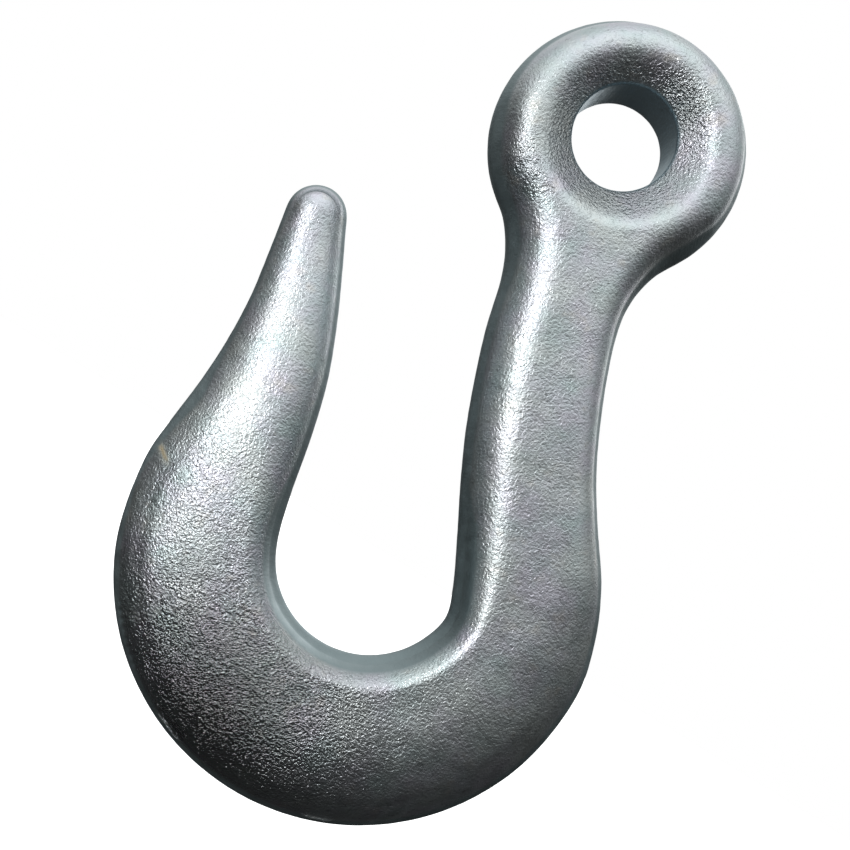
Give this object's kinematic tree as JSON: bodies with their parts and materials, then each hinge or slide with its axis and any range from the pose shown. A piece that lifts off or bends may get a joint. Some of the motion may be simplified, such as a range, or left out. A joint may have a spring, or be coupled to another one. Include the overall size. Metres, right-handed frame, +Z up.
{
  "type": "eye hook",
  "caption": "One-piece forged steel eye hook with a pierced round eye, a flat-cheeked shank, a deep round bowl and a blunt tapering point, zinc plated.",
  "frame": {"origin": "centre of the eye's hole, on the forging's parting plane", "axes": "+Z up the load line from the bowl's seat to the eye, +X away from the point, Y along the hole and through the thickness"},
  "size_m": [0.086, 0.017, 0.1489],
  "materials": {
    "zinc_plated_forging": "bright zinc plating over a shot-blasted forging skin: fine grain, satin, faint blue tint"
  },
  "bodies": {
    "root": {"hook_forging": "zinc_plated_forging"}
  },
  "joints": []
}
